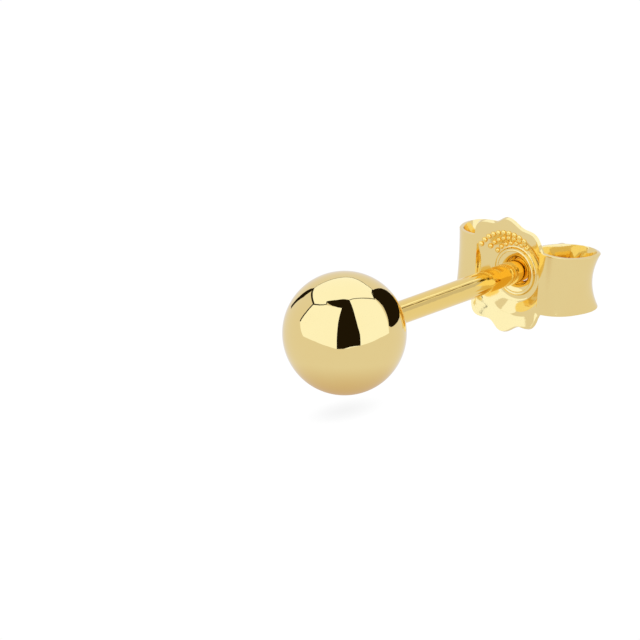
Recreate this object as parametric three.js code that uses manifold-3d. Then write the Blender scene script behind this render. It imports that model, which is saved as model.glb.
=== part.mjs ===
// Ball stud earring: a polished ball with its straight post, and the butterfly clutch on the post.
// Millimetres, +Z up. The post runs along +Y, from the ball to the clutch.
// Both pieces are made about the post's own axis, with the ball's centre as its zero. The whole is
// then laid down as it rests on a table, on the ball and two of the clutch's scallops.

import * as THREE from "three";
import { mergeGeometries, mergeVertices } from "three/addons/utils/BufferGeometryUtils.js";
import Module from "manifold-3d";

const wasm = await Module();
wasm.setup();

// Ball and post
const BALL_DIAMETER = 4.0;
const POST_DIAMETER = 0.76;
const POST_LENGTH = 9.8; // from the back of the ball to the tip
const SOLDER_FILLET = 0.12;
const TIP_CHAMFER = 0.12;

// Clutch: one sheet of metal, a dished disc with a scroll curled back at each side
const SHEET = 0.18;
const BALL_TO_COLLAR = 6.95; // from the back of the ball to the front of the collar
const DISC_RADIUS = 1.83; // of the front face, halfway between the tops and bottoms of the scallops
const SCALLOPS = 10;
const SCALLOP_DEPTH = 0.18;
const SCALLOP_WIDTH = 0.5; // how far in from the edge the waves reach
const SEAT_RADIUS = 0.94; // of the flat ring round the collar
const SEAT_BEND = 0.15; // how softly the seat turns into the dish
const DISH_DEPTH = 0.46; // from the seat forward to the disc's edge, without its lip
const LIP_DEPTH = 0.05; // that the lip bends forward beyond the dish
const LIP_WIDTH = 0.2;
const LIP_BEND = 0.08; // how softly the dish turns into the lip

// Collar round the hole
const HOLE_CLEARANCE = 0.085; // round the post
const COLLAR_RADIUS = 0.79;
const COLLAR_HEIGHT = 0.17; // forward of the seat
const BEAD_WIDTH = 0.22; // of the collar's rounded outer bead
const GROOVE_DEPTH = 0.06; // between the bead and the hole's thin lip
const COLLAR_BACK = 0.06; // behind the sheet

// Scrolls
const SCROLL_RADIUS = 1.03; // of the outside, at its waist
const SCROLL_HEIGHT = 2.08; // where it leaves the disc
const SCROLL_END_HEIGHT = 1.5;
const FRONT_FLARE = 0.06; // how far the edges stand out from the waist at the scroll's front
const SCROLL_FLARE = 0.22; // the same, at its outermost
const BACK_FLARE = 0.1; // the same, at its back
const FLARE_START = 0.16; // share of the curl at which the flare starts to widen
const FLARE_FULL = 0.46; // at which it is widest
const FLARE_EASED = 0.75; // at which it has eased to the back's
const SCROLL_STEP = 0.51; // from the seat forward to the scroll's front
const STEP_RADIUS = 1.24; // from the axis to where the sheet steps forward to the scroll
const STEP_WIDTH = 0.14;
const STEP_FADE = THREE.MathUtils.degToRad(20); // beyond the neck's corner, over which the step fades
const SCROLL_TURN = 185; // degrees from the outermost point to the end of the curl
const GRIP_CLEARANCE = 0.05; // between each curl's end and the post

// Raised grains above the hole, in curved rows
const GRAIN_RADIUS = 0.11;
const GRAIN_RISE = 0.08; // how far a grain stands proud of the sheet
const GRAIN_GAP = 0.02;
const GRAIN_ROWS = 3;
const GRAIN_SPREAD = THREE.MathUtils.degToRad(84); // that a row spans
const GRAIN_MIDDLE = THREE.MathUtils.degToRad(106); // a little to one side of the top

// How finely the round shapes are cut
const BALL_STEPS = 64;
const BALL_RINGS = 22;
const FILLET_RINGS = 4;
const DISC_STEPS = 80;
const DISC_RINGS = 12;
const SCROLL_STEPS = 36;
const COLLAR_STEPS = 48;
const BEAD_RINGS = 5;
const GRAIN_STEPS = 8;
const MERGE_DISTANCE = 1e-5;

// Worked out from the sizes above
const ballRadius = BALL_DIAMETER / 2;
const postRadius = POST_DIAMETER / 2;
const holeRadius = postRadius + HOLE_CLEARANCE;
const collarFront = ballRadius + BALL_TO_COLLAR;
const seatFront = collarFront + COLLAR_HEIGHT;
const sheetHole = (holeRadius + COLLAR_RADIUS) / 2; // its edge lies inside the collar's metal
const scrollCentreX = postRadius + GRIP_CLEARANCE + SCROLL_RADIUS;
const scrollCentreY = seatFront - SCROLL_STEP + SCROLL_RADIUS;
const scrollEnd = THREE.MathUtils.degToRad(SCROLL_TURN);
const neckHalf = SCROLL_HEIGHT / 2;
const notchRadius = DISC_RADIUS - SCALLOP_DEPTH / 2;
const neckAngle = Math.asin(neckHalf / notchRadius); // where a scroll's edge leaves the disc
const neckX = notchRadius * Math.cos(neckAngle);
const neckSteps = Math.round((neckAngle * DISC_STEPS) / (2 * Math.PI));
const scrollStart = -Math.acos((neckX - scrollCentreX) / SCROLL_RADIUS);

const lerp = THREE.MathUtils.lerp;

function smooth(t) {
  const c = THREE.MathUtils.clamp(t, 0, 1);
  return c * c * (3 - 2 * c);
}

function polishedGold(roughness) {
  return new THREE.MeshStandardMaterial({ color: 0xe9cf7c, roughness, metalness: 1 });
}

// Solids for joining, and back to a geometry

function bare(geometry) {
  const g = geometry.clone();
  g.deleteAttribute("normal");
  g.deleteAttribute("uv");
  return mergeVertices(g, MERGE_DISTANCE);
}

function solid(geometry) {
  const g = bare(geometry);
  const mesh = new wasm.Mesh({
    numProp: 3,
    vertProperties: new Float32Array(g.attributes.position.array),
    triVerts: new Uint32Array(g.index.array),
  });
  return new wasm.Manifold(mesh);
}

function geometryOf(manifold) {
  const mesh = manifold.getMesh();
  const g = new THREE.BufferGeometry();
  g.setAttribute("position", new THREE.BufferAttribute(new Float32Array(mesh.vertProperties), 3));
  g.setIndex(new THREE.BufferAttribute(new Uint32Array(mesh.triVerts), 1));
  g.computeVertexNormals();
  return g;
}

// Ball and post, soldered together: one turned shape

function ballStudGeometry() {
  const filletCentreR = postRadius + SOLDER_FILLET;
  const backAngle = Math.acos(filletCentreR / (ballRadius + SOLDER_FILLET));
  const filletCentreY = (ballRadius + SOLDER_FILLET) * Math.sin(backAngle);
  const profile = [new THREE.Vector2(0, -ballRadius)];
  for (let i = 1; i <= BALL_RINGS; i++) {
    const a = lerp(-Math.PI / 2, backAngle, i / BALL_RINGS);
    profile.push(new THREE.Vector2(ballRadius * Math.cos(a), ballRadius * Math.sin(a)));
  }
  for (let i = 1; i <= FILLET_RINGS; i++) {
    const a = lerp(backAngle + Math.PI, Math.PI, i / FILLET_RINGS);
    profile.push(
      new THREE.Vector2(filletCentreR + SOLDER_FILLET * Math.cos(a), filletCentreY + SOLDER_FILLET * Math.sin(a)),
    );
  }
  const tip = ballRadius + POST_LENGTH;
  profile.push(new THREE.Vector2(postRadius, tip - TIP_CHAMFER));
  profile.push(new THREE.Vector2(postRadius - TIP_CHAMFER, tip));
  profile.push(new THREE.Vector2(0, tip));
  return new THREE.LatheGeometry(profile, BALL_STEPS);
}

// Form of the sheet's front face

// Share of its whole drop that a soft bend has reached after a run, where the whole takes a width.
function bendShare(run, width, bend) {
  const sag = (length) => Math.hypot(bend, Math.max(length, 0)) - bend;
  return sag(run) / sag(width);
}

// The round dish: level at the seat, an even slope forward, and a lip at the disc's edge.
function dishY(r) {
  const slope = bendShare(r - SEAT_RADIUS, DISC_RADIUS - SEAT_RADIUS, SEAT_BEND);
  const lip = bendShare(r - DISC_RADIUS + LIP_WIDTH, LIP_WIDTH, LIP_BEND);
  return seatFront - DISH_DEPTH * slope - LIP_DEPTH * lip;
}

// A place in the disc's plane, raised to its face: the dish, with a step forward to the front of
// each scroll's circle, whose edges are flared.
function discPoint(x, z) {
  const side = Math.abs(x);
  const run = Math.min(Math.abs(side - scrollCentreX), SCROLL_RADIUS);
  const waist = scrollCentreY - Math.sqrt(SCROLL_RADIUS * SCROLL_RADIUS - run * run);
  const front = waist - FRONT_FLARE * (z / neckHalf) ** 2;
  const beyond = Math.max(Math.atan2(Math.abs(z), side) - neckAngle, 0);
  const stepped = smooth((side - STEP_RADIUS) / STEP_WIDTH) * (1 - smooth(beyond / STEP_FADE));
  return [x, lerp(dishY(Math.hypot(x, z)), front, stepped), z];
}

// The rays of the disc's net are moved a little, so that one meets each corner of a neck.
function rayRise(step) {
  const quarter = DISC_STEPS / 4;
  if (step <= neckSteps) return (neckAngle * step) / neckSteps;
  return neckAngle + ((Math.PI / 2 - neckAngle) * (step - neckSteps)) / (quarter - neckSteps);
}

function scallopedRadius(rise) {
  return DISC_RADIUS + (SCALLOP_DEPTH / 2) * Math.cos(SCALLOPS * (rise - Math.PI / 2));
}

// Place in the disc's plane where a ray meets a ring of the net, in the first quarter.
function netPoint(ring, step) {
  const rise = rayRise(step);
  const along = ring / DISC_RINGS;
  if (step <= neckSteps) {
    const edgeZ = step === neckSteps ? neckHalf : neckX * Math.tan(rise);
    return [lerp(sheetHole * Math.cos(rise), neckX, along), lerp(sheetHole * Math.sin(rise), edgeZ, along)];
  }
  const plain = lerp(sheetHole, DISC_RADIUS, along);
  const wave = smooth((plain - DISC_RADIUS + SCALLOP_WIDTH) / SCALLOP_WIDTH);
  const r = plain + (scallopedRadius(rise) - DISC_RADIUS) * wave;
  return [r * Math.cos(rise), r * Math.sin(rise)];
}

function discFace() {
  const g = new THREE.RingGeometry(sheetHole, DISC_RADIUS, DISC_STEPS, DISC_RINGS);
  const quarter = DISC_STEPS / 4;
  for (let ring = 0; ring <= DISC_RINGS; ring++) {
    for (let i = 0; i <= DISC_STEPS; i++) {
      const step = i % DISC_STEPS;
      const fold = step % (2 * quarter);
      const [x, z] = netPoint(ring, fold <= quarter ? fold : 2 * quarter - fold);
      const right = step < quarter || step > 3 * quarter;
      const place = discPoint(right ? x : -x, step <= 2 * quarter ? z : -z);
      g.attributes.position.setXYZ(ring * (DISC_STEPS + 1) + i, ...place);
    }
  }
  return g;
}

// How far a scroll's edges stand out from its waist, a share of the way along the curl.
function flareAt(along) {
  const widened = smooth((along - FLARE_START) / (FLARE_FULL - FLARE_START));
  const eased = smooth((along - FLARE_FULL) / (FLARE_EASED - FLARE_FULL));
  return lerp(lerp(FRONT_FLARE, SCROLL_FLARE, widened), BACK_FLARE, eased);
}

// A scroll's face goes on from the neck's last line of the disc's net.
function scrollFace(side) {
  const rows = 2 * neckSteps;
  const g = new THREE.PlaneGeometry(1, 1, SCROLL_STEPS, rows);
  for (let row = 0; row <= rows; row++) {
    const step = Math.abs(neckSteps - row);
    const half = netPoint(DISC_RINGS, step)[1] * Math.sign(neckSteps - row);
    for (let i = 0; i <= SCROLL_STEPS; i++) {
      const along = i / SCROLL_STEPS;
      const angle = lerp(scrollStart, scrollEnd, along);
      const r = SCROLL_RADIUS + flareAt(along) * (half / neckHalf) ** 2;
      const place =
        i === 0
          ? discPoint(side * neckX, half)
          : [
              side * (scrollCentreX + r * Math.cos(angle)),
              scrollCentreY + r * Math.sin(angle),
              half * lerp(1, SCROLL_END_HEIGHT / SCROLL_HEIGHT, along),
            ];
      g.attributes.position.setXYZ(row * (SCROLL_STEPS + 1) + i, ...place);
    }
  }
  if (side < 0) g.setIndex([...g.index.array].reverse());
  return g;
}

// Gives a face its thickness behind it, with walls along every free edge.
function thickened(face, thickness) {
  const front = bare(face);
  front.computeVertexNormals();
  const { position, normal } = front.attributes;
  const count = position.count;
  const points = new Float32Array(count * 6);
  for (let i = 0; i < count * 3; i++) {
    points[i] = position.array[i];
    points[count * 3 + i] = position.array[i] - normal.array[i] * thickness;
  }
  const triangles = [];
  const edges = new Set();
  for (let i = 0; i < front.index.count; i += 3) {
    const corners = [0, 1, 2].map((k) => front.index.getX(i + k));
    triangles.push(...corners, ...corners.map((c) => c + count).reverse());
    corners.forEach((c, k) => edges.add(c + " " + corners[(k + 1) % 3]));
  }
  for (const edge of edges) {
    const [a, b] = edge.split(" ").map(Number);
    if (!edges.has(b + " " + a)) triangles.push(b, a, a + count, b, a + count, b + count);
  }
  const g = new THREE.BufferGeometry();
  g.setAttribute("position", new THREE.BufferAttribute(points, 3));
  g.setIndex(triangles);
  return g;
}

// Collar: a rounded bead, a groove and a thin lip, turned round the hole and through the sheet

function collarGeometry() {
  const beadHalf = BEAD_WIDTH / 2;
  const crest = COLLAR_RADIUS - beadHalf;
  const lip = (holeRadius + COLLAR_RADIUS - BEAD_WIDTH) / 2;
  const foot = seatFront + SHEET / 2;
  const back = seatFront + SHEET + COLLAR_BACK;
  const profile = [new THREE.Vector2(holeRadius, back)];
  profile.push(new THREE.Vector2(holeRadius, collarFront + GROOVE_DEPTH));
  profile.push(new THREE.Vector2(lip, collarFront + GROOVE_DEPTH / 2));
  for (let i = 0; i <= BEAD_RINGS; i++) {
    const a = lerp(Math.PI, Math.PI / 2, i / BEAD_RINGS);
    profile.push(
      new THREE.Vector2(crest + beadHalf * Math.cos(a), collarFront + GROOVE_DEPTH * (1 - Math.sin(a))),
    );
  }
  for (let i = 1; i <= BEAD_RINGS; i++) {
    const a = lerp(Math.PI / 2, 0, i / BEAD_RINGS);
    profile.push(
      new THREE.Vector2(crest + beadHalf * Math.cos(a), lerp(foot, collarFront, Math.sin(a))),
    );
  }
  profile.push(new THREE.Vector2(COLLAR_RADIUS - COLLAR_BACK, back));
  profile.push(profile[0].clone());
  return new THREE.LatheGeometry(profile, COLLAR_STEPS);
}

// Grains: plain round domes that follow the dish above the hole

function grainSolids() {
  const grains = [];
  const pitch = 2 * GRAIN_RADIUS + GRAIN_GAP;
  for (let row = 0; row < GRAIN_ROWS; row++) {
    const r = COLLAR_RADIUS + pitch * (row + 0.75);
    const steps = Math.floor((GRAIN_SPREAD * r) / pitch);
    for (let i = 0; i <= steps; i++) {
      const angle = GRAIN_MIDDLE + ((i - steps / 2) * pitch) / r;
      const [x, y, z] = discPoint(r * Math.cos(angle), r * Math.sin(angle));
      const grain = new THREE.SphereGeometry(GRAIN_RADIUS, GRAIN_STEPS, GRAIN_STEPS - 2);
      grain.translate(x, y + GRAIN_RADIUS - GRAIN_RISE, z);
      grains.push(solid(grain));
    }
  }
  return grains;
}

function clutchGeometry() {
  const face = mergeGeometries([discFace(), scrollFace(1), scrollFace(-1)]);
  let clutch = solid(thickened(face, SHEET)).add(solid(collarGeometry()));
  for (const grain of grainSolids()) clutch = clutch.add(grain);
  return geometryOf(clutch);
}

// Laying down: turned by half a scallop, so that two of them share the weight, then let down
// about the ball until they touch the same plane as the ball does.

function pitchToRest(clutch, turn) {
  const p = clutch.geometry.attributes.position;
  const v = new THREE.Vector3();
  let pitch = Infinity;
  for (let i = 0; i < p.count; i++) {
    v.fromBufferAttribute(p, i).applyMatrix4(turn);
    if (v.z > -ballRadius / 2) continue;
    pitch = Math.min(pitch, Math.asin(ballRadius / Math.hypot(v.y, v.z)) - Math.atan2(-v.z, v.y));
  }
  return pitch;
}

const ballStud = new THREE.Mesh(ballStudGeometry(), polishedGold(0.05));
ballStud.name = "ball_stud";
const clutch = new THREE.Mesh(clutchGeometry(), polishedGold(0.16));
clutch.name = "butterfly_clutch";

const roll = Math.PI / SCALLOPS;
const pitch = pitchToRest(clutch, new THREE.Matrix4().makeRotationY(roll));
const lying = new THREE.Group();
lying.rotation.set(-pitch, roll, 0, "XYZ");
lying.add(ballStud, clutch);

const earring = new THREE.Group();
earring.add(lying);
earring.updateMatrixWorld(true);
const box = new THREE.Box3().setFromObject(earring, true);
const middle = box.getCenter(new THREE.Vector3());
lying.position.set(-middle.x, -middle.y, -box.min.z);

export default earring;
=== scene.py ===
"""Ball stud earring in polished gold: a ball on its post, and the butterfly clutch on the post.

Each piece is drawn in millimetres about the post's own axis, with the ball's centre as its zero
and the post along +Y. It is then laid down as the earring rests, and brought to metres.
"""

import logging
import math
from dataclasses import dataclass, field
from enum import Enum
from typing import Callable

import bpy
from mathutils import Matrix, Vector

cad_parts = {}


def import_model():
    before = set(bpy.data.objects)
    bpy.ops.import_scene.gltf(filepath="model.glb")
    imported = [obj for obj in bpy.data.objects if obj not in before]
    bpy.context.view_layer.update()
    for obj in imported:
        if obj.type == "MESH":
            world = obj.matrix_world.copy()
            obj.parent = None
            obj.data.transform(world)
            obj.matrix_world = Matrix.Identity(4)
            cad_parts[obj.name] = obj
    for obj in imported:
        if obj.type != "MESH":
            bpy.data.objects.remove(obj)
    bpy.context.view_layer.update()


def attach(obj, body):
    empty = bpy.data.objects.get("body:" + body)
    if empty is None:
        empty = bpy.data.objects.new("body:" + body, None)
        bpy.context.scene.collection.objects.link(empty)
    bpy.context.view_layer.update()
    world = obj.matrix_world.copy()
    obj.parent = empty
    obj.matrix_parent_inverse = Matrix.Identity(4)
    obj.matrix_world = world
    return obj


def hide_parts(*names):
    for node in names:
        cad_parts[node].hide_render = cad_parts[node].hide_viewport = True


log = logging.getLogger("earring")

MM = 0.001
MERGE = 1e-4
Point = tuple[float, float, float]
Outline = list[tuple[float, float]]


def lerp(a: float, b: float, t: float) -> float:
    """The value a share t of the way from a to b."""
    return a + (b - a) * t


def smooth(t: float) -> float:
    """An even rise from 0 to 1, level at both ends."""
    c = min(max(t, 0.0), 1.0)
    return c * c * (3 - 2 * c)


# Handling of a mesh, as at the bench


def deselect_all() -> None:
    """Leaves nothing selected."""
    for other in bpy.context.selected_objects:
        other.select_set(False)


def take_up(piece: bpy.types.Object) -> None:
    """Makes a piece the only selected and the active one."""
    deselect_all()
    piece.select_set(True)
    bpy.context.view_layer.objects.active = piece


def name_new(name: str) -> bpy.types.Object:
    """Names the primitive that was just added, and its mesh."""
    piece = bpy.context.object
    piece.name = name
    piece.data.name = name
    return piece


def select_where(piece: bpy.types.Object, wanted: Callable[[bpy.types.MeshVertex], bool]) -> None:
    """Selects the vertices that answer a question, from object mode, ready for edit mode.

    Args:
        piece: The mesh object, which is the active one.
        wanted: Says of a vertex whether it is selected.
    """
    bpy.ops.object.mode_set(mode="EDIT")
    bpy.ops.mesh.select_mode(type="VERT")
    bpy.ops.mesh.select_all(action="DESELECT")
    bpy.ops.object.mode_set(mode="OBJECT")
    for vertex in piece.data.vertices:
        vertex.select = wanted(vertex)
    bpy.ops.object.mode_set(mode="EDIT")


def tidy_shell() -> None:
    """Merges doubles and turns the faces of the active piece outwards, in edit mode."""
    bpy.ops.mesh.select_all(action="SELECT")
    bpy.ops.mesh.remove_doubles(threshold=MERGE)
    bpy.ops.mesh.normals_make_consistent(inside=False)


def turn_profile(name: str, profile: Outline, steps: int) -> bpy.types.Object:
    """Draws a profile point by point and spins it round the post's axis.

    Args:
        name: Name of the piece.
        profile: Distances from the axis and places along it, in millimetres.
        steps: How many steps the full turn has.

    Returns:
        The turned piece.
    """
    deselect_all()
    bpy.ops.mesh.primitive_plane_add(size=1)
    piece = name_new(name)
    bpy.ops.object.mode_set(mode="EDIT")
    bpy.ops.mesh.select_mode(type="VERT")
    bpy.ops.mesh.select_all(action="SELECT")
    bpy.ops.mesh.merge(type="CENTER")
    bpy.ops.transform.translate(value=(profile[0][0], profile[0][1], 0))
    for (r, y), (next_r, next_y) in zip(profile, profile[1:]):
        bpy.ops.mesh.extrude_vertices_move(TRANSFORM_OT_translate={"value": (next_r - r, next_y - y, 0)})
    bpy.ops.mesh.select_all(action="SELECT")
    bpy.ops.mesh.spin(
        steps=steps, angle=2 * math.pi, use_auto_merge=True, center=(0, 0, 0), axis=(0, 1, 0)
    )
    tidy_shell()
    bpy.ops.object.mode_set(mode="OBJECT")
    return piece


def arc(centre: tuple[float, float], radius: float, start: float, end: float, steps: int) -> Outline:
    """Points of an arc in a profile.

    Args:
        centre: Its centre, from the axis and along it.
        radius: Its radius.
        start: Angle of its first point, in degrees from square to the axis.
        end: Angle of its last point.
        steps: How many steps it has.

    Returns:
        The points, both ends among them.
    """
    angles = [math.radians(lerp(start, end, i / steps)) for i in range(steps + 1)]
    return [(centre[0] + radius * math.cos(a), centre[1] + radius * math.sin(a)) for a in angles]


@dataclass(frozen=True)
class Lying:
    """How the earring lies on the table: on the ball and two of the clutch's scallops."""

    roll: float = 18.0
    pitch: float = 0.2532
    ball_radius: float = 2.0
    front: float = -6.9005

    def turn(self) -> Matrix:
        """The turn from the earring's own frame to the table's."""
        down = Matrix.Rotation(-math.radians(self.pitch), 4, "X")
        return down @ Matrix.Rotation(math.radians(self.roll), 4, "Y")

    def ball_centre(self) -> Vector:
        """The ball's centre on the table, in millimetres."""
        return Vector((0, self.front + self.ball_radius, self.ball_radius))

    def lay(self, piece: bpy.types.Object) -> None:
        """Lays a finished piece down and brings it to metres, its object left at the origin."""
        place = Matrix.Scale(MM, 4) @ Matrix.Translation(self.ball_centre()) @ self.turn()
        piece.data.transform(place)
        piece.data.update()


# Finishes


class Sheen(Enum):
    """How a piece of gold was finished, as roughness."""

    MIRROR = 0.015
    DRAWN = 0.04
    POLISHED = 0.06
    PRESSED = 0.11


@dataclass(frozen=True)
class Gold:
    """Pale yellow gold with the fine marks that its finish leaves."""

    name: str
    colour: tuple[float, float, float] = (0.93, 0.74, 0.30)
    sheen: Sheen = Sheen.MIRROR
    haze: float = 0.02
    haze_size: float = 0.9
    haze_detail: float = 4.0
    haze_least: float = 0.35
    haze_most: float = 0.75
    warmth: float = 0.04
    mark: float = 0.0
    mark_size: float = 0.05
    mark_stretch: float = 12.0
    mark_detail: float = 2.0

    def make(self) -> bpy.types.Material:
        """Builds the material.

        Returns:
            The finished material.
        """
        material = bpy.data.materials.new(self.name)
        material.use_nodes = True
        nodes, links = material.node_tree.nodes, material.node_tree.links
        metal = nodes["Principled BSDF"]
        metal.inputs["Metallic"].default_value = 1.0
        place = nodes.new("ShaderNodeTexCoord")
        cloud = nodes.new("ShaderNodeTexNoise")
        cloud.inputs["Scale"].default_value = 1 / (self.haze_size * MM)
        cloud.inputs["Detail"].default_value = self.haze_detail
        links.new(place.outputs["Object"], cloud.inputs["Vector"])
        spread = nodes.new("ShaderNodeMapRange")
        spread.inputs["From Min"].default_value = self.haze_least
        spread.inputs["From Max"].default_value = self.haze_most
        spread.inputs["To Min"].default_value = self.sheen.value
        spread.inputs["To Max"].default_value = self.sheen.value + self.haze
        links.new(cloud.outputs["Fac"], spread.inputs["Value"])
        links.new(spread.outputs["Result"], metal.inputs["Roughness"])
        tint = nodes.new("ShaderNodeMix")
        tint.data_type = "RGBA"
        tint.inputs["A"].default_value = (*self.colour, 1)
        warmer = [part * (1 - self.warmth * i) for i, part in enumerate(self.colour)]
        tint.inputs["B"].default_value = (*warmer, 1)
        links.new(cloud.outputs["Fac"], tint.inputs["Factor"])
        links.new(tint.outputs["Result"], metal.inputs["Base Color"])
        if self.mark:
            along = nodes.new("ShaderNodeMapping")
            along.inputs["Scale"].default_value = (1, 1 / self.mark_stretch, 1)
            links.new(place.outputs["Object"], along.inputs["Vector"])
            scratch = nodes.new("ShaderNodeTexNoise")
            scratch.inputs["Scale"].default_value = 1 / (self.mark_size * MM)
            scratch.inputs["Detail"].default_value = self.mark_detail
            links.new(along.outputs["Vector"], scratch.inputs["Vector"])
            groove = nodes.new("ShaderNodeBump")
            groove.inputs["Strength"].default_value = self.mark
            groove.inputs["Distance"].default_value = self.mark_size * MM
            links.new(scratch.outputs["Fac"], groove.inputs["Height"])
            links.new(groove.outputs["Normal"], metal.inputs["Normal"])
        return material

    def dress(self, piece: bpy.types.Object) -> None:
        """Gives a piece this finish alone."""
        piece.data.materials.clear()
        piece.data.materials.append(self.make())


# Ball and post


@dataclass
class BallStud:
    """The polished ball with its soldered foot, and the drawn post that stands in it."""

    lying: Lying
    ball_radius: float = 2.0
    post_radius: float = 0.38
    post_length: float = 9.8
    fillet: float = 0.12
    solder_edge: float = 0.003
    tip_round: float = 0.12
    steps: int = 192
    ball_rings: int = 96
    fillet_rings: int = 8
    tip_rings: int = 5
    post_lengths: int = 12
    post_sink: float = 0.3
    crease: float = math.radians(50)
    ball_finish: Gold = Gold("mirror_gold")
    # The post's gold is deeper and more orange than the ball's. It is gold's own colour, partly deepened as
    # a painted reflection of the disc and collar in the post.
    post_finish_and_painted_reflection: Gold = Gold("drawn_gold_and_painted_reflection", colour=(0.985, 0.73, 0.215), sheen=Sheen.DRAWN, mark=0.05)

    def ball_profile(self) -> Outline:
        """The outline of the ball, from its front to the end of the solder's fillet."""
        fillet_r = self.post_radius + self.fillet
        reach = self.ball_radius + self.fillet
        meet = math.degrees(math.acos(fillet_r / reach))
        fillet_y = reach * math.sin(math.radians(meet))
        outline = [(0.0, -self.ball_radius)]
        outline += arc((0, 0), self.ball_radius, -90, meet, self.ball_rings)[1:]
        outline += arc((fillet_r, fillet_y), self.fillet, meet + 180, 180, self.fillet_rings)[1:-1]
        return outline + [(self.post_radius + self.solder_edge, fillet_y), (0.0, fillet_y)]

    def post_profile(self) -> Outline:
        """The outline of the post, from its end inside the ball to its blunt tip."""
        tip = self.ball_radius + self.post_length
        start, shoulder = self.ball_radius - self.post_sink, tip - self.tip_round
        outline = [(0.0, start)]
        shares = [i / self.post_lengths for i in range(self.post_lengths)]
        outline += [(self.post_radius, lerp(start, shoulder, share)) for share in shares]
        outline += arc((self.post_radius - self.tip_round, shoulder), self.tip_round, 0, 90, self.tip_rings)
        return outline + [(0.0, tip)]

    def finish(self, name: str, outline: Outline, gold: Gold) -> bpy.types.Object:
        """Turns, smooths, lays down and dresses one piece of the stud.

        Args:
            name: The piece's name.
            outline: Its profile.
            gold: Its finish.

        Returns:
            The finished piece, riding on its body.
        """
        piece = turn_profile(name, outline, self.steps)
        take_up(piece)
        bpy.ops.object.shade_smooth_by_angle(angle=self.crease)
        self.lying.lay(piece)
        gold.dress(piece)
        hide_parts("ball_stud")
        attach(piece, "stud")
        return piece

    def build(self) -> list[bpy.types.Object]:
        """Builds the ball and the post."""
        return [
            self.finish("polished_ball", self.ball_profile(), self.ball_finish),
            self.finish("stud_post", self.post_profile(), self.post_finish_and_painted_reflection),
        ]


# Clutch


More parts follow.
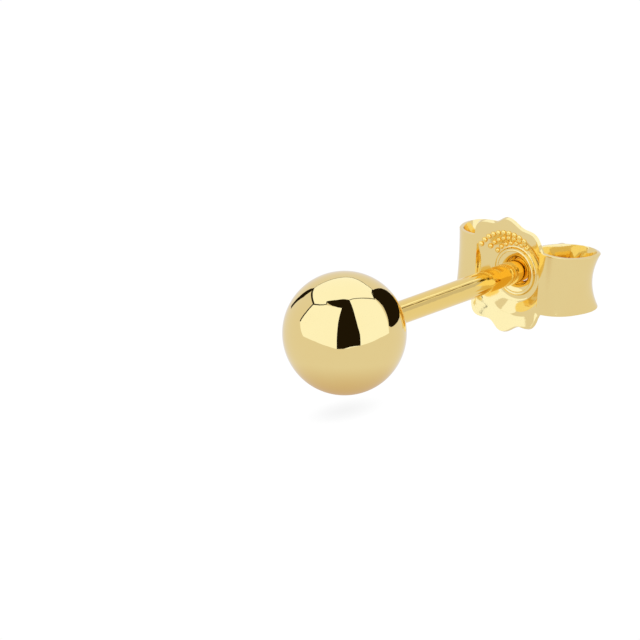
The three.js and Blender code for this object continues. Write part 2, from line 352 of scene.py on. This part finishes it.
@dataclass
class Clutch:
    """The butterfly clutch: one pressed sheet with two scrolls, its collar and its raised grains."""

    lying: Lying
    post_radius: float = 0.38
    sheet: float = 0.13
    collar_front: float = 8.95
    disc_radius: float = 1.83
    scallops: int = 10
    scallop_depth: float = 0.18
    scallop_width: float = 0.5
    seat_radius: float = 0.94
    seat_bend: float = 0.06
    dish_depth: float = 0.6
    brim_radius: float = 1.3
    brim_ease: float = 0.75
    brim_bend: float = 0.15
    lip_width: float = 0.2
    lip_bend: float = 0.08
    lip_depth: float = 0.015
    hole_clearance: float = 0.085
    back_clearance: float = 0.012
    collar_radius: float = 0.79
    collar_height: float = 0.17
    bead_width: float = 0.12
    groove_depth: float = 0.2
    collar_back: float = 0.14
    collar_fillet: float = 0.05
    collar_lip: float = 1 / 3
    bead_start: float = 150.0
    bead_steps: int = 14
    fillet_steps: int = 5
    scroll_radius: float = 1.03
    scroll_height: float = 2.08
    scroll_end_height: float = 1.5
    front_flare: float = 0.03
    scroll_flare: float = 0.22
    back_flare: float = 0.1
    flare_start: float = 0.24
    flare_full: float = 0.46
    flare_eased: float = 0.75
    scroll_step: float = 0.51
    step_radius: float = 1.24
    step_width: float = 0.05
    step_fade: float = math.radians(8)
    scroll_end: float = 185.0
    grip_clearance: float = 0.05
    grain_radius: float = 0.1
    grain_rise: float = 0.08
    grain_gap: float = 0.02
    grain_rows: int = 3
    grain_spread: float = 84.0
    grain_middle: float = 106.0
    grain_start: float = 0.75
    grain_segments: int = 20
    grain_rings: int = 12
    edge_round: float = 0.04
    edge_band: float = 0.07
    edge_steps: int = 3
    edge_angle: float = math.radians(50)
    crease: float = math.radians(40)
    net_steps: int = 240
    net_rings: int = 30
    curl_steps: int = 84
    collar_steps: int = 96
    sheet_finish: Gold = Gold(
        "clutch_sheet_gold", sheen=Sheen.POLISHED, mark=0.012, mark_stretch=1.0
    )
    collar_finish: Gold = Gold("clutch_collar_gold", sheen=Sheen.POLISHED)
    grain_finish: Gold = Gold("clutch_grain_gold", colour=(0.98, 0.72, 0.20), sheen=Sheen.PRESSED)
    neck_edge: dict[int, list[int]] = field(default_factory=dict)

    def __post_init__(self) -> None:
        """Works out the sizes that follow from the others."""
        self.hole_radius = self.post_radius + self.hole_clearance
        self.seat_front = self.collar_front + self.collar_height
        self.sheet_hole = (self.hole_radius + self.collar_radius) / 2
        self.scroll_x = self.post_radius + self.grip_clearance + self.scroll_radius
        self.scroll_y = self.seat_front - self.scroll_step + self.scroll_radius
        self.neck_half = self.scroll_height / 2
        notch_radius = self.disc_radius - self.scallop_depth / 2
        self.neck_angle = math.asin(self.neck_half / notch_radius)
        self.neck_x = notch_radius * math.cos(self.neck_angle)
        self.neck_steps = round(self.neck_angle * self.net_steps / (2 * math.pi))

    # Form of the sheet's front face

    def dish_y(self, r: float) -> float:
        """The round dish: level at the seat, a slope forward, a flatter brim and a lip at the edge."""

        def sag(run: float, bend: float) -> float:
            """How far a bend of some softness has dropped after a run."""
            return math.hypot(bend, max(run, 0)) - bend

        def slope(r: float) -> float:
            """How far the dish has dropped at a radius: a slope, eased beyond the brim's start."""
            eased = self.brim_ease * sag(r - self.brim_radius, self.brim_bend)
            return sag(r - self.seat_radius, self.seat_bend) - eased

        inside = r - self.disc_radius + self.lip_width
        lip = sag(inside, self.lip_bend) / sag(self.lip_width, self.lip_bend)
        raised = self.dish_depth * slope(r) / slope(self.disc_radius)
        return self.seat_front - raised - self.lip_depth * lip

    def disc_point(self, x: float, z: float) -> Point:
        """A place in the disc's plane, raised to its face.

        That is the dish, with a step forward to the front of each scroll's circle, whose edges
        are flared.
        """
        side = abs(x)
        run = min(abs(side - self.scroll_x), self.scroll_radius)
        waist = self.scroll_y - math.sqrt(self.scroll_radius**2 - run * run)
        front = waist - self.front_flare * (z / self.neck_half) ** 2
        beyond = max(math.atan2(abs(z), side) - self.neck_angle, 0)
        stepped = smooth((side - self.step_radius) / self.step_width)
        stepped *= 1 - smooth(beyond / self.step_fade)
        return x, lerp(self.dish_y(math.hypot(x, z)), front, stepped), z

    def scalloped_radius(self, rise: float) -> float:
        """The disc's radius at an angle above the neck's middle line."""
        return self.disc_radius + self.scallop_depth / 2 * math.cos(self.scallops * (rise - math.pi / 2))

    def net_point(self, ring: int, step: int) -> tuple[float, float]:
        """Where a ray of the net meets a ring, in the first quarter of the disc's plane."""
        quarter = self.net_steps // 4
        if step <= self.neck_steps:
            along = ring / self.net_rings
            rise = self.neck_angle * step / self.neck_steps
            edge_z = self.neck_half if step == self.neck_steps else self.neck_x * math.tan(rise)
            return (
                lerp(self.sheet_hole * math.cos(rise), self.neck_x, along),
                lerp(self.sheet_hole * math.sin(rise), edge_z, along),
            )
        beyond = (step - self.neck_steps) / (quarter - self.neck_steps)
        rise = lerp(self.neck_angle, math.pi / 2, beyond)
        along = 1 if ring == self.net_rings else (1 - self.edge_band) * ring / (self.net_rings - 1)
        plain = lerp(self.sheet_hole, self.disc_radius, along)
        wave = smooth((plain - self.disc_radius + self.scallop_width) / self.scallop_width)
        r = plain + (self.scalloped_radius(rise) - self.disc_radius) * wave
        return r * math.cos(rise), r * math.sin(rise)

    def flare(self, along: float) -> float:
        """How far a scroll's edges stand out from its waist, a share of the way along the curl."""
        widened = smooth((along - self.flare_start) / (self.flare_full - self.flare_start))
        eased = smooth((along - self.flare_full) / (self.flare_eased - self.flare_full))
        return lerp(lerp(self.front_flare, self.scroll_flare, widened), self.back_flare, eased)

    def flat_disc(self) -> bpy.types.Object:
        """A flat round net with a hole: a circle, extruded outwards ring by ring."""
        deselect_all()
        bpy.ops.mesh.primitive_circle_add(
            vertices=self.net_steps, radius=self.sheet_hole, rotation=(math.pi / 2, 0, 0)
        )
        piece = name_new("pressed_clutch_sheet")
        bpy.ops.object.transform_apply(location=True, rotation=True, scale=True)
        bpy.ops.object.mode_set(mode="EDIT")
        bpy.ops.mesh.select_mode(type="EDGE")
        bpy.ops.mesh.select_all(action="SELECT")
        spacing = (self.disc_radius - self.sheet_hole) / self.net_rings
        for ring in range(self.net_rings):
            inner = self.sheet_hole + spacing * ring
            widen = (inner + spacing) / inner
            bpy.ops.mesh.extrude_region_move()
            bpy.ops.transform.resize(value=(widen, widen, widen), center_override=(0, 0, 0))
        bpy.ops.object.mode_set(mode="OBJECT")
        return piece

    def press(self, piece: bpy.types.Object) -> None:
        """Presses the flat net to the disc's form, and notes the vertices of both neck edges."""
        quarter = self.net_steps // 4
        self.neck_edge = {1: [], -1: []}
        for vertex in piece.data.vertices:
            x, z = vertex.co.x, vertex.co.z
            share = (math.hypot(x, z) - self.sheet_hole) / (self.disc_radius - self.sheet_hole)
            ring = round(share * self.net_rings)
            step = round(math.atan2(abs(z), abs(x)) * self.net_steps / (2 * math.pi))
            side = 1 if round(x / self.sheet_hole, 4) > 0 else -1
            flat_x, flat_z = self.net_point(ring, step)
            if step == quarter:
                flat_x = 0.0
            vertex.co = self.disc_point(side * flat_x, math.copysign(flat_z, z))
            if ring == self.net_rings and step <= self.neck_steps:
                self.neck_edge[side].append(vertex.index)

    def curl(self, piece: bpy.types.Object, side: int) -> None:
        """Spins one neck's edge round its scroll's axis, then eases the curl's height and flare.

        Args:
            piece: The pressed sheet.
            side: 1 for the scroll on +X, -1 for the other.
        """
        centre = Vector((side * self.scroll_x, self.scroll_y, 0))

        def turned(place: Vector) -> float:
            """How far round the scroll a place lies, from its outermost point."""
            return math.atan2(place.y - centre.y, side * (place.x - centre.x))

        starts = {}
        for index in self.neck_edge[side]:
            place = piece.data.vertices[index].co
            starts[round(place.z / MERGE)] = turned(place)
        end = math.radians(self.scroll_end)
        whole = end + math.pi / 2
        chosen = set(self.neck_edge[side])
        made = len(piece.data.vertices)
        take_up(piece)
        select_where(piece, lambda vertex: vertex.index in chosen)
        bpy.ops.mesh.spin(
            steps=self.curl_steps, angle=whole, use_auto_merge=False, center=centre, axis=(0, 0, -side)
        )
        bpy.ops.object.mode_set(mode="OBJECT")
        fresh = [vertex for vertex in piece.data.vertices if vertex.index >= made]
        for vertex in fresh:
            z = vertex.co.z
            start = starts[round(z / MERGE)]
            run = (turned(vertex.co) - start) % (2 * math.pi)
            along = round(run / whole * self.curl_steps) / self.curl_steps
            angle = lerp(start, end, along)
            r = self.scroll_radius + self.flare(along) * (z / self.neck_half) ** 2
            narrowed = lerp(1, self.scroll_end_height / self.scroll_height, along)
            vertex.co = centre + Vector((side * r * math.cos(angle), r * math.sin(angle), z * narrowed))

    def build_sheet(self) -> bpy.types.Object:
        """Presses, curls and thickens the sheet, and rounds its cut edges.

        Returns:
            The finished sheet, riding on its body.
        """
        piece = self.flat_disc()
        self.press(piece)
        for side in (1, -1):
            self.curl(piece, side)
        take_up(piece)
        bpy.ops.object.mode_set(mode="EDIT")
        bpy.ops.mesh.select_all(action="SELECT")
        bpy.ops.mesh.remove_doubles(threshold=MERGE)
        bpy.ops.mesh.normals_make_consistent(inside=False)
        bpy.ops.object.mode_set(mode="OBJECT")
        seat = [face for face in piece.data.polygons if abs(face.center.x) < self.collar_radius]
        if sum(face.normal.y * face.area for face in seat) > 0:
            piece.data.flip_normals()
        wall = piece.modifiers.new("wall", "SOLIDIFY")
        wall.thickness = self.sheet
        wall.offset = -1
        rounding = piece.modifiers.new("edges", "BEVEL")
        rounding.width = self.edge_round
        rounding.segments = self.edge_steps
        rounding.limit_method = "ANGLE"
        rounding.angle_limit = self.edge_angle
        for modifier in ("wall", "edges"):
            bpy.ops.object.modifier_apply(modifier=modifier)
        return self.settle(piece, self.sheet_finish)

    def build_collar(self) -> bpy.types.Object:
        """Turns the collar: the hole's wall, its thin lip, a groove, the bead and its foot."""
        half = self.bead_width / 2
        crest = self.collar_radius - half
        lip = (self.hole_radius + self.collar_radius - self.bead_width) / 2
        back = self.seat_front + self.sheet + self.collar_back
        groove = self.collar_front + self.groove_depth
        outline = [(self.post_radius + self.back_clearance, back)]
        outline += [(self.hole_radius, back - self.collar_fillet)]
        outline += [(self.hole_radius, groove + self.collar_fillet)]
        outline += [(self.hole_radius + self.collar_fillet / 2, groove)]
        outline += [(lip, groove - self.groove_depth * self.collar_lip)]
        outline += arc((crest, self.collar_front + half), half, self.bead_start, 0, self.bead_steps)
        foot, floor = self.collar_radius + self.collar_fillet, self.seat_front - self.collar_fillet
        outline += arc((foot, floor), self.collar_fillet, 180, 90, self.fillet_steps)
        outline += [(foot, self.seat_front + self.sheet / 2)]
        outline += [(self.hole_radius + self.collar_fillet, back)]
        outline += [outline[0]]
        piece = turn_profile("clutch_collar", outline, self.collar_steps)
        return self.settle(piece, self.collar_finish)

    def build_grains(self) -> bpy.types.Object:
        """Sets plain round grains in curved rows above the hole, and joins them to one piece."""
        pitch = 2 * self.grain_radius + self.grain_gap
        spread, middle = math.radians(self.grain_spread), math.radians(self.grain_middle)
        grains = []
        for row in range(self.grain_rows):
            r = self.collar_radius + pitch * (row + self.grain_start)
            steps = math.floor(spread * r / pitch)
            for i in range(steps + 1):
                angle = middle + (i - steps / 2) * pitch / r
                x, y, z = self.disc_point(r * math.cos(angle), r * math.sin(angle))
                deselect_all()
                bpy.ops.mesh.primitive_uv_sphere_add(
                    segments=self.grain_segments,
                    ring_count=self.grain_rings,
                    radius=self.grain_radius,
                    location=(x, y + self.grain_radius - self.grain_rise, z),
                )
                grains.append(name_new("raised_grains"))
        take_up(grains[0])
        for grain in grains:
            grain.select_set(True)
        bpy.ops.object.join()
        bpy.ops.object.transform_apply(location=True, rotation=True, scale=True)
        return self.settle(bpy.context.object, self.grain_finish)

    def settle(self, piece: bpy.types.Object, finish: Gold) -> bpy.types.Object:
        """Smooths a piece, lays it down, dresses it and lets it ride on the clutch."""
        take_up(piece)
        bpy.ops.object.shade_smooth_by_angle(angle=self.crease)
        self.lying.lay(piece)
        finish.dress(piece)
        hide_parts("butterfly_clutch")
        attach(piece, "clutch")
        return piece

    def build(self) -> list[bpy.types.Object]:
        """Builds the sheet, the collar and the grains."""
        return [self.build_sheet(), self.build_collar(), self.build_grains()]


# Studio


@dataclass(frozen=True)
class Viewpoint:
    """The photograph's angle to the earring, kept while the earring lies rolled on the table."""

    azimuth: float = 38.2
    elevation: float = 16.4
    clutch_roll: float = 3.5
    distance: float = 300.0
    pixels_per_mm: float = 31.2
    frame_pixels: int = 640
    sensor: float = 36.0
    ball_right: float = 24.5
    ball_down: float = 13.0
    clip_start: float = 0.01
    clip_end: float = 20.0

    def turn(self, lying: Lying) -> Matrix:
        """The turn from the photograph's level frame to the table's."""
        down = Matrix.Rotation(-math.radians(lying.pitch), 4, "X")
        return down @ Matrix.Rotation(math.radians(lying.roll - self.clutch_roll), 4, "Y")

    def axes(self, lying: Lying) -> Matrix:
        """The camera's own axes on the table, as the columns of a matrix."""
        a, e = math.radians(self.azimuth), math.radians(self.elevation)
        back = Vector((math.sin(a) * math.cos(e), -math.cos(a) * math.cos(e), math.sin(e)))
        right = Vector((math.cos(a), math.sin(a), 0))
        own = Matrix((right, back.cross(right), back)).transposed().to_4x4()
        return self.turn(lying) @ own

    def place_camera(self, lying: Lying) -> bpy.types.Object:
        """Adds the camera and looks through it.

        Args:
            lying: How the earring lies.

        Returns:
            The camera.
        """
        axes = self.axes(lying)
        right, up, back = (axes.col[i].to_3d() for i in range(3))
        aim = lying.ball_centre() - right * self.ball_right / self.pixels_per_mm
        aim += up * self.ball_down / self.pixels_per_mm
        data = bpy.data.cameras.new("studio_camera")
        data.sensor_width = self.sensor
        data.lens = self.sensor * self.pixels_per_mm * self.distance / self.frame_pixels
        data.clip_start = self.clip_start
        data.clip_end = self.clip_end
        camera = bpy.data.objects.new("studio_camera", data)
        bpy.context.scene.collection.objects.link(camera)
        camera.matrix_world = Matrix.Translation((aim + back * self.distance) * MM) @ axes
        bpy.context.scene.camera = camera
        return camera


class Paint(Enum):
    """What a card of the studio's tent shows: its light's colour and strength."""

    BRIGHT = (1.07, 1.20, 1.62)
    SHADED = (0.63, 0.64, 0.80)
    DIM = (0.26, 0.22, 0.20)
    BLACK = (0.014, 0.010, 0.005)


# How far cards hang from the ball: round the whole set, or seen in the ball alone. The near black cards are
# painted reflections: dark sheets that only the ball mirrors.
FAR = 600.0
NEAR = 2.0

# Between a fan's hub and its rim
INNER = 0.5


@dataclass(frozen=True)
class Card:
    """A card of the tent, hung where the camera sees it mirrored in the gold.

    Its corners are the mirrored directions, as azimuth and elevation in the photograph's level
    frame, and its reach is how far along them it hangs from the ball's surface, in millimetres.
    """

    name: str
    paint: Paint
    reach: float
    corners: tuple[tuple[float, float], ...]

    def build(self, view: Viewpoint, lying: Lying) -> bpy.types.Object:
        """Hangs the card.

        Args:
            view: Where the camera stands.
            lying: How the earring lies.

        Returns:
            The card, which the camera doesn't see.
        """
        turn = view.turn(lying)
        directions = [turn @ level_direction(*corner) for corner in self.corners]
        middle = sum(directions, Vector()).normalized()
        deselect_all()
        bpy.ops.mesh.primitive_circle_add(vertices=len(directions), radius=1, fill_type="TRIFAN")
        card = name_new(self.name)
        rim = [vertex for vertex in card.data.vertices if vertex.co.length > INNER]
        hub = next(vertex for vertex in card.data.vertices if vertex.co.length < INNER)
        rim.sort(key=lambda vertex: math.atan2(vertex.co.y, vertex.co.x))
        for vertex, direction in zip(rim, directions):
            vertex.co = hung(direction, self.reach, view, lying)
        hub.co = hung(middle, self.reach, view, lying)
        return hide_from_camera(card, self.paint, middle)


@dataclass(frozen=True)
class Seam:
    """A painted reflection of a dark seam of the tent between two cards: a narrow black ribbon hung close
    to the ball and mirrored in it alone.
    """

    name: str
    width: float
    line: tuple[tuple[float, float], ...]

    def build(self, view: Viewpoint, lying: Lying) -> bpy.types.Object:
        """Hangs the seam close to the ball.

        Args:
            view: Where the camera stands.
            lying: How the earring lies.

        Returns:
            The ribbon, which the camera doesn't see.
        """
        turn = view.turn(lying)
        directions = [turn @ level_direction(*place) for place in self.line]
        deselect_all()
        bpy.ops.mesh.primitive_grid_add(x_subdivisions=len(directions) - 1, y_subdivisions=1, size=2)
        ribbon = name_new(self.name)
        half = math.tan(math.radians(self.width / 2))
        columns = sorted({round(vertex.co.x, 4) for vertex in ribbon.data.vertices})
        for vertex in ribbon.data.vertices:
            at = columns.index(round(vertex.co.x, 4))
            ahead = directions[min(at + 1, len(directions) - 1)] - directions[max(at - 1, 0)]
            aside = directions[at].cross(ahead).normalized() * half * vertex.co.y
            vertex.co = hung((directions[at] + aside).normalized(), NEAR, view, lying)
        return hide_from_camera(ribbon, Paint.BLACK, directions[len(directions) // 2])


def hung(direction: Vector, reach: float, view: Viewpoint, lying: Lying) -> Vector:
    """Where a line that the ball mirrors to the camera has gone a way.

    Args:
        direction: The mirrored line's direction on the table.
        reach: How far along it, from the ball's surface, in millimetres.
        view: Where the camera stands.
        lying: How the earring lies.

    Returns:
        The place, in metres.
    """
    back = view.axes(lying).col[2].to_3d()
    start = lying.ball_centre() + (back + direction).normalized() * lying.ball_radius
    return (start + direction * reach) * MM


def hide_from_camera(card: bpy.types.Object, paint: Paint, away: Vector) -> bpy.types.Object:
    """Paints a card's side towards the ball, and leaves it to be seen in the gold alone.

    Args:
        card: The card.
        paint: Its paint.
        away: The direction from the ball to the card.

    Returns:
        The card.
    """
    card.data.update()
    if sum(face.normal.dot(away) * face.area for face in card.data.polygons) > 0:
        card.data.flip_normals()
    material = glowing(card.name, paint.value)
    side = material.node_tree.nodes.new("ShaderNodeNewGeometry")
    clear_where(material, side.outputs["Backfacing"])
    card.data.materials.append(material)
    card.visible_camera = False
    return card


def level_direction(azimuth: float, elevation: float) -> Vector:
    """The direction of an azimuth and an elevation in the photograph's level frame, in degrees."""
    a, e = math.radians(azimuth), math.radians(elevation)
    return Vector((math.sin(a) * math.cos(e), -math.cos(a) * math.cos(e), math.sin(e)))


def glowing(name: str, light: tuple[float, float, float]) -> bpy.types.Material:
    """A material that gives an even light of its own.

    Args:
        name: The material's name.
        light: Its colour and strength.

    Returns:
        The material.
    """
    material = bpy.data.materials.new(name)
    material.use_nodes = True
    tree = material.node_tree
    glow = tree.nodes.new("ShaderNodeEmission")
    glow.inputs["Color"].default_value = (*light, 1)
    tree.links.new(glow.outputs["Emission"], tree.nodes["Material Output"].inputs["Surface"])
    return material


def clear_where(material: bpy.types.Material, share: bpy.types.NodeSocket) -> None:
    """Makes a glowing material clear by a share.

    Args:
        material: The material.
        share: How clear it is at a place, from 0 to 1.
    """
    nodes, links = material.node_tree.nodes, material.node_tree.links
    clear = nodes.new("ShaderNodeBsdfTransparent")
    blend = nodes.new("ShaderNodeMixShader")
    links.new(share, blend.inputs["Fac"])
    links.new(nodes["Emission"].outputs["Emission"], blend.inputs[1])
    links.new(clear.outputs["BSDF"], blend.inputs[2])
    links.new(blend.outputs["Shader"], nodes["Material Output"].inputs["Surface"])


CARDS = (
    Card(
        "front_left_card",
        Paint.BRIGHT,
        FAR,
        ((-59.7, 42.2), (-43.1, 51.3), (-26.1, 58.7), (-5.6, 62.2), (28, 63), (48, 66))
        + ((48, 40), (48, 16), (48, -12), (23.9, -13.5), (6.8, -9.4), (-17.6, -4.4))
        + ((-32, -3), (-44.5, -2.2), (-51, 3.3), (-60.7, 12.8), (-59.7, 20.4), (-58.2, 30.8)),
    ),
    Card(
        "front_right_card",
        Paint.BRIGHT,
        FAR,
        ((77.6, 77.9), (105, 75.4), (124.3, 68.9), (137.8, 58.4), (150, 45), (143, 34))
        + ((136, 21.5), (131.5, 10), (128.9, -0.4), (107, -1.2), (86.7, -4.8), (67.3, -8))
        + ((46, -11), (46, 16), (46, 43), (52, 66)),
    ),
    Card(
        "ceiling_card",
        Paint.BRIGHT,
        FAR,
        ((-105.7, 32.6), (-117.6, 37.2), (-132.6, 38.2), (-141.9, 36.9), (-149.8, 36.4), (-163.5, 40.8))
        + ((176.7, 40.5), (164.3, 46.2), (150.2, 45.3), (125.5, 69), (108.1, 75.8), (79.5, 78.4))
        + ((28.8, 82.1), (-16.5, 75.6), (-34.3, 68.3), (-43.1, 61.6), (-31.4, 58.7), (-46.3, 50.5))
        + ((-60.1, 42.8), (-79.7, 40.4), (-95.2, 36)),
    ),
    Card("post_glint_card", Paint.BRIGHT, FAR, ((168.7, 42.8), (178, 43.9), (178.4, 37.8), (170.8, 36.8))),
    Card("post_line_card", Paint.DIM, FAR, ((151.3, 36.9), (157.5, 40.7), (163, 33.2), (158.2, 30.4))),
    Card("post_shade_card", Paint.SHADED, FAR, ((137.5, 12.4), (148, 31.8), (153.3, 27.8), (143.6, 10.9))),
    # Painted reflections: black cards hung close to the ball, dark sheets mirrored in it alone.
    Card(
        "camera_flag",
        Paint.BLACK,
        NEAR,
        ((29, 81.9), (77, 78.2), (69.9, 67.7), (65.1, 45.2), (65.4, 27.3), (67.5, 11.5))
        + ((67.3, -8), (55.8, -8.3), (47.1, -9.4), (36.7, -12.9), (23.9, -13.5), (23.8, 9.5))
        + ((23.9, 23.5), (23.9, 35.8), (25.3, 50.4), (28, 62.8)),
    ),
    Card(
        "camera_flag_arm",
        Paint.BLACK,
        NEAR,
        ((-43.1, 61.6), (-34.3, 68.3), (-16.5, 75.6), (29, 81.9), (32, 71.6), (30, 62.8))
        + ((13.2, 63.1), (-10.2, 62.4), (-25.9, 61.6)),
    ),
    Card(
        "back_right_flag",
        Paint.BLACK,
        NEAR,
        ((174.1, 42.5), (-175.4, 28.4), (-169.4, 17.9), (-164.7, 7.7), (-163, 1), (-165.3, -2))
        + ((-175.6, -0.5), (172.6, 0.3), (159.4, 1.7), (144.6, 3.4), (137.3, 4.6), (132.2, 8.2))
        + ((136.8, 15.7), (141.4, 23.5), (146.9, 31.4), (150.1, 38.9), (152.3, 45.1), (162.2, 45.3)),
    ),
    Card(
        "left_flag",
        Paint.BLACK,
        NEAR,
        ((-107, 32.7), (-100.3, 32.5), (-97.3, 23.1), (-101.3, 13.4), (-104, 6.9), (-106.5, 1.7))
        + ((-112.3, 0.3), (-110.3, 5.6), (-108.6, 12.4), (-109, 19.4), (-108.9, 25.6)),
    ),
)

SEAMS = (
    Seam("ceiling_left_seam", 2.6, ((-105.7, 32.6), (-95.2, 36), (-79.7, 40.4), (-60.1, 42.8))),
    Seam(
        "ceiling_back_seam",
        1.0,
        ((-105.7, 32.6), (-111.1, 34.7), (-117.6, 37.2), (-125.1, 38.5), (-132.6, 38.2), (-141.9, 36.9))
        + ((-149.8, 36.4), (-155.8, 38.3), (-163.5, 40.8), (-172.9, 42.3), (176.7, 40.5)),
    ),
    Seam("ceiling_right_seam", 1.6, ((176.7, 40.5), (164.3, 46.2), (150.2, 45.3))),
    Seam(
        "right_card_seam",
        1.4,
        ((149.5, 44.2), (138.2, 58.5), (124.9, 68.9), (106.5, 75.6), (78.2, 78.1)),
    ),
    Seam(
        "left_card_seam",
        2.0,
        ((-40.4, 62), (-31.9, 59.2), (-37.4, 55), (-45.8, 50.3), (-54.9, 45.5), (-60.7, 42.4)),
    ),
    Seam("left_card_edge", 2.8, ((-61.2, 42.5), (-59.5, 36), (-58.8, 27.9), (-59.7, 20.4), (-60.7, 12.8))),
)


@dataclass(frozen=True)
class Studio:
    """A white tent of cards round a white table, with soft light from every side."""

    hangings: tuple[Card | Seam, ...] = CARDS + SEAMS
    tent_colour: tuple[float, float, float] = (0.81, 0.82, 0.93)
    # Painted shade: the contact shade is a glowing tan disc seen in the gold, not a shadow.
    shade_colour: tuple[float, float, float] = (0.616, 0.476, 0.37)
    shade_radius: float = 3.3
    shade_steps: int = 64
    table_size: float = 4.0
    table_light: float = 1.02
    # The cast is a painted shadow: the table's glow is dimmed round a point below the ball.
    cast_light: float = 0.91
    cast_across: float = 1.7
    cast_along: float = 3.6
    cast_drop: float = 2.45
    backdrop_radius: float = 6.0
    backdrop_fineness: int = 4

    def build(self, view: Viewpoint, lying: Lying) -> None:
        """Puts up the tent, the table and the backdrop.

        Args:
            view: Where the camera stands.
            lying: How the earring lies.
        """
        for hanging in self.hangings:
            hanging.build(view, lying)
        self.light_tent()
        self.shade_contact(view, lying)
        self.lay_table(view, lying)
        self.hang_backdrop()

    def light_tent(self) -> None:
        """Lights the tent's cloth evenly."""
        world = bpy.data.worlds.new("tent")
        bpy.context.scene.world = world
        world.use_nodes = True
        world.node_tree.nodes["Background"].inputs["Color"].default_value = (*self.tent_colour, 1)

    def shade_contact(self, view: Viewpoint, lying: Lying) -> bpy.types.Object:
        """Lays a painted shade: a glowing warm disc, clear towards its rim, standing in for the soft shade
        that the ball throws under itself, seen in the gold alone.

        Args:
            view: Where the camera stands.
            lying: How the earring lies.

        Returns:
            The shade.
        """
        deselect_all()
        bpy.ops.mesh.primitive_circle_add(
            vertices=self.shade_steps, radius=self.shade_radius * MM, fill_type="NGON"
        )
        shade = name_new("painted_contact_shade")
        # The painted shade lies below the ball in the camera's level frame, not at its contact with the
        # table.
        below = view.turn(lying) @ Vector((0, 0, -lying.ball_radius))
        material = glowing(shade.name, self.shade_colour)
        nodes, links = material.node_tree.nodes, material.node_tree.links
        place = nodes.new("ShaderNodeTexCoord")
        run = nodes.new("ShaderNodeVectorMath")
        run.operation = "LENGTH"
        links.new(place.outputs["Object"], run.inputs[0])
        fade = nodes.new("ShaderNodeMapRange")
        fade.interpolation_type = "SMOOTHSTEP"
        fade.inputs["From Min"].default_value = 0.0
        fade.inputs["From Max"].default_value = self.shade_radius * MM
        links.new(run.outputs["Value"], fade.inputs["Value"])
        clear_where(material, fade.outputs["Result"])
        shade.data.materials.append(material)
        shade.matrix_world = Matrix.Translation((lying.ball_centre() + below) * MM) @ view.turn(lying)
        shade.visible_camera = False
        return shade

    def lay_table(self, view: Viewpoint, lying: Lying) -> bpy.types.Object:
        """Lays the white table, with a painted shadow: a faint grey painted into its glow, standing in for
        the shadow and faint reflection of the ball.

        Args:
            view: Where the camera stands.
            lying: How the earring lies.

        Returns:
            The table.
        """
        deselect_all()
        bpy.ops.mesh.primitive_plane_add(size=self.table_size)
        table = name_new("table")
        white = glowing("white_table", (1, 1, 1))
        nodes, links = white.node_tree.nodes, white.node_tree.links
        up, back = (view.axes(lying).col[i].to_3d() for i in (1, 2))
        # The painted shadow is centred below the ball as the camera sees it, not at the ball's contact with
        # the table.
        below = lying.ball_centre() - up * self.cast_drop
        cast = (below - back * below.z / back.z) * MM
        place = nodes.new("ShaderNodeTexCoord")
        centred = nodes.new("ShaderNodeMapping")
        centred.vector_type = "TEXTURE"
        centred.inputs["Location"].default_value = (cast.x, cast.y, 0)
        centred.inputs["Rotation"].default_value = (0, 0, math.atan2(-back.x, back.y))
        centred.inputs["Scale"].default_value = (self.cast_across * MM, self.cast_along * MM, 1)
        links.new(place.outputs["Object"], centred.inputs["Vector"])
        run = nodes.new("ShaderNodeVectorMath")
        run.operation = "LENGTH"
        links.new(centred.outputs["Vector"], run.inputs[0])
        fade = nodes.new("ShaderNodeMapRange")
        fade.interpolation_type = "SMOOTHSTEP"
        fade.inputs["To Min"].default_value = self.cast_light
        fade.inputs["To Max"].default_value = self.table_light
        links.new(run.outputs["Value"], fade.inputs["Value"])
        links.new(fade.outputs["Result"], nodes["Emission"].inputs["Strength"])
        table.data.materials.append(white)
        table.visible_glossy = False
        return table

    def hang_backdrop(self) -> bpy.types.Object:
        """Hangs a white backdrop all round, seen by the camera alone."""
        deselect_all()
        bpy.ops.mesh.primitive_ico_sphere_add(
            subdivisions=self.backdrop_fineness, radius=self.backdrop_radius
        )
        backdrop = name_new("backdrop")
        backdrop.data.materials.append(glowing("white_backdrop", (1, 1, 1)))
        backdrop.visible_glossy = False
        backdrop.visible_diffuse = False
        backdrop.visible_shadow = False
        return backdrop


def plain(bounds: tuple[Vector, Vector]) -> list[list[float]]:
    """A box's two corners as plain lists."""
    return [list(corner) for corner in bounds]


def main() -> None:
    """Builds the earring and its studio, and logs each piece's face count."""
    logging.basicConfig(level=logging.INFO, format="%(name)s: %(message)s")
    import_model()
    lying = Lying()
    view = Viewpoint()
    view.place_camera(lying)
    for piece in [*BallStud(lying).build(), *Clutch(lying).build()]:
        log.info("%s: %d faces", piece.name, len(piece.data.polygons))
    Studio().build(view, lying)
    bpy.context.scene.view_settings.view_transform = "Standard"


if __name__ == "__main__":
    main()
